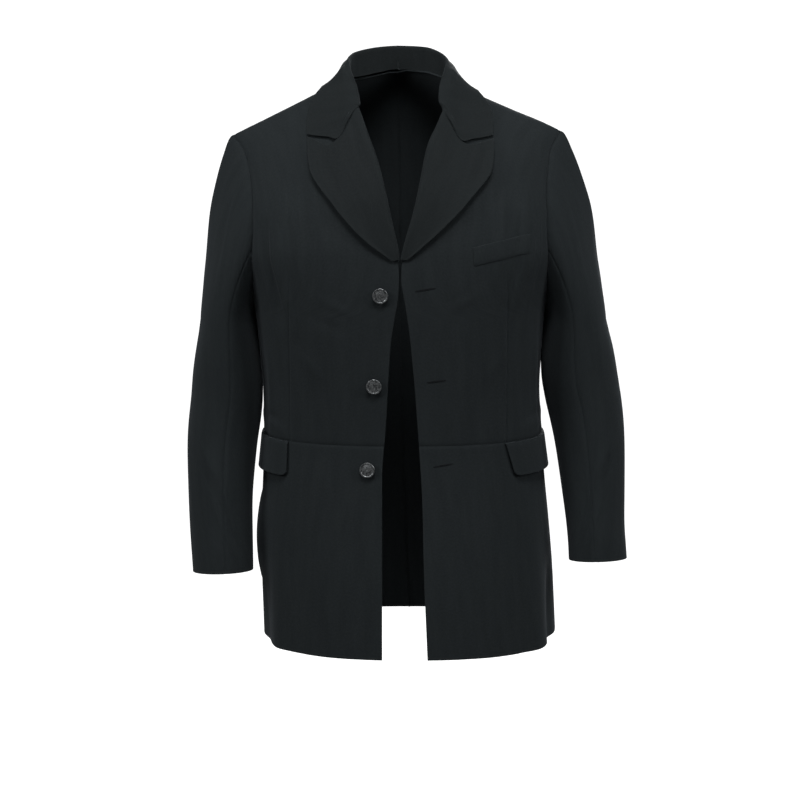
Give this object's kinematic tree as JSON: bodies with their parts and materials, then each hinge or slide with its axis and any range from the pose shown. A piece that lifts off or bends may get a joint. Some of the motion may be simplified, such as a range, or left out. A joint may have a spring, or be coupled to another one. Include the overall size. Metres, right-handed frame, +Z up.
{
  "type": "three-button long blazer with a waist seam, worn open",
  "caption": "Long tailored wool coat with notched lapels, waist seam, hip flaps, breast welt and metal buttons, hanging open and filled out.",
  "frame": {"origin": "middle of the neck root, level with the top of the shoulders, where the wearer carries the coat", "axes": "+Z up, -Y the way the coat faces, +X towards the wearer's left"},
  "size_m": [0.6083, 0.2827, 0.8068],
  "materials": {
    "wool": "plain black worsted with a soft sheen",
    "pewter": "dull pewter-grey metal"
  },
  "bodies": {
    "root": {"forepart_right": "wool", "skirt_right": "wool", "back_right": "wool", "top_sleeve_right": "wool", "under_sleeve_right": "wool", "lapel_right": "wool", "flap_right": "wool", "forepart_left": "wool", "skirt_left": "wool", "back_left": "wool", "top_sleeve_left": "wool", "under_sleeve_left": "wool", "lapel_left": "wool", "flap_left": "wool", "collar": "wool", "breast_welt": "wool", "button_1": "pewter", "button_2": "pewter", "button_3": "pewter"}
  },
  "joints": []
}
